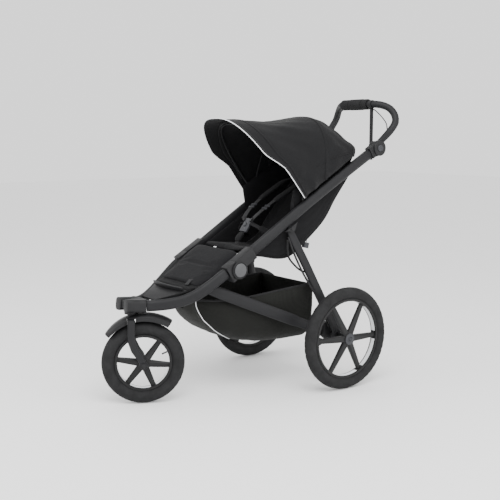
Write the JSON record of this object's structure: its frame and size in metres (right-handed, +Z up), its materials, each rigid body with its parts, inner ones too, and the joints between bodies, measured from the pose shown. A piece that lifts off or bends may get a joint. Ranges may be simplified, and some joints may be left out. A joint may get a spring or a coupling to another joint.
{
  "type": "jogging stroller",
  "caption": "Three-wheeled folding jogging stroller with a canopied reclining seat, an under-seat basket, a swivelling front wheel and a tilting handlebar.",
  "frame": {"origin": "on the floor, under the middle of the bounding box", "axes": "-Y is the front of the stroller, where the single wheel is; +X is the stroller's left side; +Z is up"},
  "size_m": [0.699, 1.2755, 1.148],
  "materials": {
    "frame": "dark grey satin paint",
    "plastic": "fine grain, near black",
    "tyre": "matt with a low tread",
    "rim": "moulded nylon, satin",
    "medallion": "plain satin disc",
    "button": "grey",
    "fabric": "black woven polyester",
    "mesh": "black mesh and woven polyester",
    "webbing": "woven strap",
    "foam": "closed foam"
  },
  "bodies": {
    "front_frame": {"head_housing": "plastic", "lower_tube_left": "frame", "lower_tube_right": "frame", "hinge_base_left": "plastic", "hinge_base_right": "plastic", "footrest": "plastic", "leg_panel": "fabric"},
    "swivel_lock": {"swivel_lock": "plastic"},
    "fork": {"fork": "frame", "front_fender": "plastic", "front_axle": "plastic"},
    "front_wheel": {"front_tyre": "tyre", "front_rim": "rim", "front_valve": "plastic"},
    "upper_frame": {"upper_tube_left": "frame", "upper_tube_right": "frame", "hinge_arm_left": "plastic", "hinge_arm_right": "plastic", "hinge_cap_left": "medallion", "hinge_cap_right": "medallion", "pivot_socket_left": "plastic", "pivot_socket_right": "plastic", "leg_bracket_left": "plastic", "leg_bracket_right": "plastic", "seat_shell": "fabric", "seat_pad": "fabric", "canopy": "fabric", "crotch_strap": "webbing", "buckle": "button", "shoulder_strap_left": "webbing", "shoulder_strap_right": "webbing"},
    "buckle_button": {"buckle_button": "button"},
    "backrest": {"backrest": "fabric"},
    "canopy_middle": {"canopy_bow_middle": "plastic"},
    "canopy_front": {"canopy_bow_front": "plastic"},
    "handlebar": {"handlebar": "frame", "grip_left": "foam", "grip_right": "foam", "wrist_strap": "webbing", "brake_cable_left": "foam", "brake_cable_right": "foam"},
    "brake_grip": {"brake_grip": "foam"},
    "tilt_button_left": {"tilt_button_left": "button"},
    "tilt_button_right": {"tilt_button_right": "button"},
    "rear_legs": {"rear_leg_left": "frame", "rear_leg_right": "frame"},
    "rear_frame": {"chainstay_left": "frame", "chainstay_right": "frame", "rear_axle": "frame", "pedal_bracket": "plastic", "basket": "mesh"},
    "brake_pedal": {"brake_pedal": "plastic"},
    "rear_wheel_left": {"rear_tyre_left": "tyre", "rear_rim_left": "rim"},
    "rear_wheel_right": {"rear_tyre_right": "tyre", "rear_rim_right": "rim"},
    "hub_button_left": {"hub_button_left": "button"},
    "hub_button_right": {"hub_button_right": "button"}
  },
  "joints": [
    {"name": "fork_swivel", "type": "hinge", "parent": "front_frame", "child": "fork", "pos_m": [0, -0.5347, 0.35], "axis": [0, 0, 1], "continuous": true},
    {"name": "front_wheel_spin", "type": "hinge", "parent": "fork", "child": "front_wheel", "pos_m": [0.01896, -0.49667, 0.155], "axis": [0.8949, -0.4462, 0], "continuous": true},
    {"name": "swivel_lock_slide", "type": "slide", "parent": "front_frame", "child": "swivel_lock", "axis": [0, 0, -1], "range_m": [0, 0.004]},
    {"name": "frame_fold", "type": "hinge", "parent": "front_frame", "child": "upper_frame", "pos_m": [0, -0.1771, 0.4945], "axis": [-1, 0, 0], "range_deg": [0, 116], "deforming": ["basket"]},
    {"name": "rear_leg_swing", "type": "hinge", "parent": "upper_frame", "child": "rear_legs", "pos_m": [0, 0.0769, 0.633], "axis": [1, 0, 0], "range_deg": [0, 46]},
    {"name": "rear_frame_swing", "type": "hinge", "parent": "rear_legs", "child": "rear_frame", "pos_m": [0, 0.2409, 0.2025], "axis": [-1, 0, 0], "range_deg": [0, 20.4]},
    {"name": "canopy_front_fold", "type": "hinge", "parent": "canopy_middle", "child": "canopy_front", "pos_m": [0, 0.1459, 0.757], "axis": [-1, 0, 0], "range_deg": [0, 46.5], "deforming": ["canopy"]},
    {"name": "canopy_middle_fold", "type": "hinge", "parent": "upper_frame", "child": "canopy_middle", "pos_m": [0, 0.1459, 0.757], "axis": [-1, 0, 0], "range_deg": [0, 15.5]},
    {"name": "seat_recline", "type": "hinge", "parent": "upper_frame", "child": "backrest", "pos_m": [0, 0.1289, 0.56], "axis": [-1, 0, 0], "range_deg": [-20, 14], "deforming": ["shoulder_strap_left", "shoulder_strap_right"]},
    {"name": "handlebar_tilt", "type": "hinge", "parent": "upper_frame", "child": "handlebar", "pos_m": [0, 0.5309, 0.941], "axis": [-1, 0, 0], "range_deg": [-10, 120]},
    {"name": "brake_grip_twist", "type": "hinge", "parent": "handlebar", "child": "brake_grip", "pos_m": [0, 0.5779, 1.1245], "axis": [1, 0, 0], "range_deg": [0, 30], "stiffness_Nm_per_rad": 0.5},
    {"name": "tilt_button_left_press", "type": "slide", "parent": "upper_frame", "child": "tilt_button_left", "axis": [-1, 0, 0], "range_m": [0, 0.004], "stiffness_N_per_m": 400},
    {"name": "tilt_button_right_press", "type": "slide", "parent": "upper_frame", "child": "tilt_button_right", "axis": [1, 0, 0], "range_m": [0, 0.004], "stiffness_N_per_m": 400},
    {"name": "brake_pedal_press", "type": "hinge", "parent": "rear_frame", "child": "brake_pedal", "pos_m": [0.192, 0.2309, 0.168], "axis": [1, 0, 0], "range_deg": [0, 25]},
    {"name": "rear_wheel_left_spin", "type": "hinge", "parent": "rear_frame", "child": "rear_wheel_left", "pos_m": [0.32, 0.2409, 0.2025], "axis": [1, 0, 0], "continuous": true},
    {"name": "rear_wheel_right_spin", "type": "hinge", "parent": "rear_frame", "child": "rear_wheel_right", "pos_m": [-0.32, 0.2409, 0.2025], "axis": [1, 0, 0], "continuous": true},
    {"name": "hub_button_left_press", "type": "slide", "parent": "rear_wheel_left", "child": "hub_button_left", "axis": [-1, 0, 0], "range_m": [0, 0.004], "stiffness_N_per_m": 300},
    {"name": "hub_button_right_press", "type": "slide", "parent": "rear_wheel_right", "child": "hub_button_right", "axis": [1, 0, 0], "range_m": [0, 0.004], "stiffness_N_per_m": 300},
    {"name": "buckle_button_press", "type": "slide", "parent": "upper_frame", "child": "buckle_button", "axis": [0, 0.8152, -0.5792], "range_m": [0, 0.002], "stiffness_N_per_m": 400}
  ],
  "couplings": [
    {"joint": "rear_leg_swing", "follows": "frame_fold", "ratio": 0.39639},
    {"joint": "rear_frame_swing", "follows": "frame_fold", "ratio": 0.17499},
    {"joint": "canopy_middle_fold", "follows": "canopy_front_fold", "ratio": 0.33333}
  ]
}
